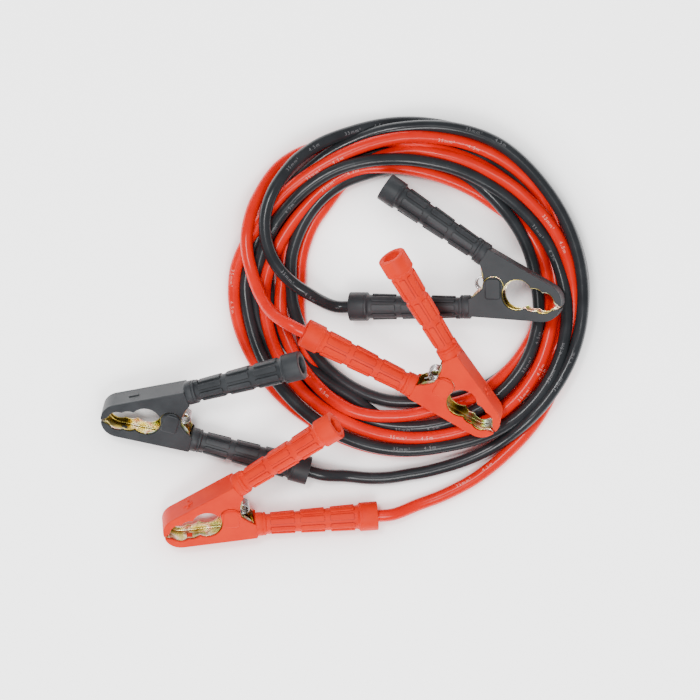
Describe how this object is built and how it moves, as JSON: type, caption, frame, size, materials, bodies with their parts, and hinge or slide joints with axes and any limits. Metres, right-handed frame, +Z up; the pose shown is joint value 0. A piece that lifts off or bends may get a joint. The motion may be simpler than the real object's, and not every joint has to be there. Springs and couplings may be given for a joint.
{
  "type": "car jumper cable",
  "caption": "Coiled jumper cable set: a red and a black insulated cable with a sprung, fully insulated battery clamp on every end.",
  "frame": {"origin": "on the floor under the middle of the four clamps' box, measured without the cables", "axes": "+Z up from the floor; +Y away from the two clamps that lie outside the coil, +X to the right"},
  "size_m": [0.4912, 0.4321, 0.1374],
  "materials": {
    "red_cover": "satin",
    "black_cover": "satin",
    "red_cable": "semi-gloss",
    "black_cable": "semi-gloss",
    "cable_coil": "semi-gloss",
    "yellow_zinc_steel": "yellow zinc chromate",
    "spring_steel": "bright"
  },
  "bodies": {
    "cables_and_fixed_halves": {"cable_coil": "cable_coil", "black_left_tail": "black_cable", "black_right_tail": "black_cable", "red_left_tail": "red_cable", "red_right_tail": "red_cable", "black_left_cable_cover": "black_cover", "black_left_cable_jaw": "yellow_zinc_steel", "black_left_rivet": "yellow_zinc_steel", "black_left_spring": "spring_steel", "red_left_cable_cover": "red_cover", "red_left_cable_jaw": "yellow_zinc_steel", "red_left_rivet": "yellow_zinc_steel", "red_left_spring": "spring_steel", "red_right_cable_cover": "red_cover", "red_right_cable_jaw": "yellow_zinc_steel", "red_right_rivet": "yellow_zinc_steel", "red_right_spring": "spring_steel", "black_right_cable_cover": "black_cover", "black_right_cable_jaw": "yellow_zinc_steel", "black_right_rivet": "yellow_zinc_steel", "black_right_spring": "spring_steel"},
    "black_left_free_half": {"black_left_free_cover": "black_cover", "black_left_free_jaw": "yellow_zinc_steel"},
    "red_left_free_half": {"red_left_free_cover": "red_cover", "red_left_free_jaw": "yellow_zinc_steel"},
    "red_right_free_half": {"red_right_free_cover": "red_cover", "red_right_free_jaw": "yellow_zinc_steel"},
    "black_right_free_half": {"black_right_free_cover": "black_cover", "black_right_free_jaw": "yellow_zinc_steel"}
  },
  "joints": [
    {"name": "black_left_jaw_hinge", "type": "hinge", "parent": "cables_and_fixed_halves", "child": "black_left_free_half", "pos_m": [-0.1601, -0.05424, 0.0322], "axis": [0.1117, 0.5428, -0.8324], "range_deg": [0, 23], "stiffness_Nm_per_rad": 1.5, "springref_deg": -20.05, "deforming": ["black_left_spring"]},
    {"name": "red_left_jaw_hinge", "type": "hinge", "parent": "cables_and_fixed_halves", "child": "red_left_free_half", "pos_m": [-0.102, -0.14854, 0.03162], "axis": [-0.0676, 0.6242, -0.7783], "range_deg": [0, 23], "stiffness_Nm_per_rad": 1.5, "springref_deg": -20.05, "deforming": ["red_left_spring"]},
    {"name": "red_right_jaw_hinge", "type": "hinge", "parent": "cables_and_fixed_halves", "child": "red_right_free_half", "pos_m": [0.1119, -0.01984, 0.062], "axis": [-0.1239, -0.4872, 0.8644], "range_deg": [0, 23], "stiffness_Nm_per_rad": 1.5, "springref_deg": -20.05, "deforming": ["red_right_spring"]},
    {"name": "black_right_jaw_hinge", "type": "hinge", "parent": "cables_and_fixed_halves", "child": "black_right_free_half", "pos_m": [0.1617, 0.07486, 0.0455], "axis": [-0.1781, -0.1079, 0.9781], "range_deg": [0, 23], "stiffness_Nm_per_rad": 1.5, "springref_deg": -20.05, "deforming": ["black_right_spring"]}
  ]
}
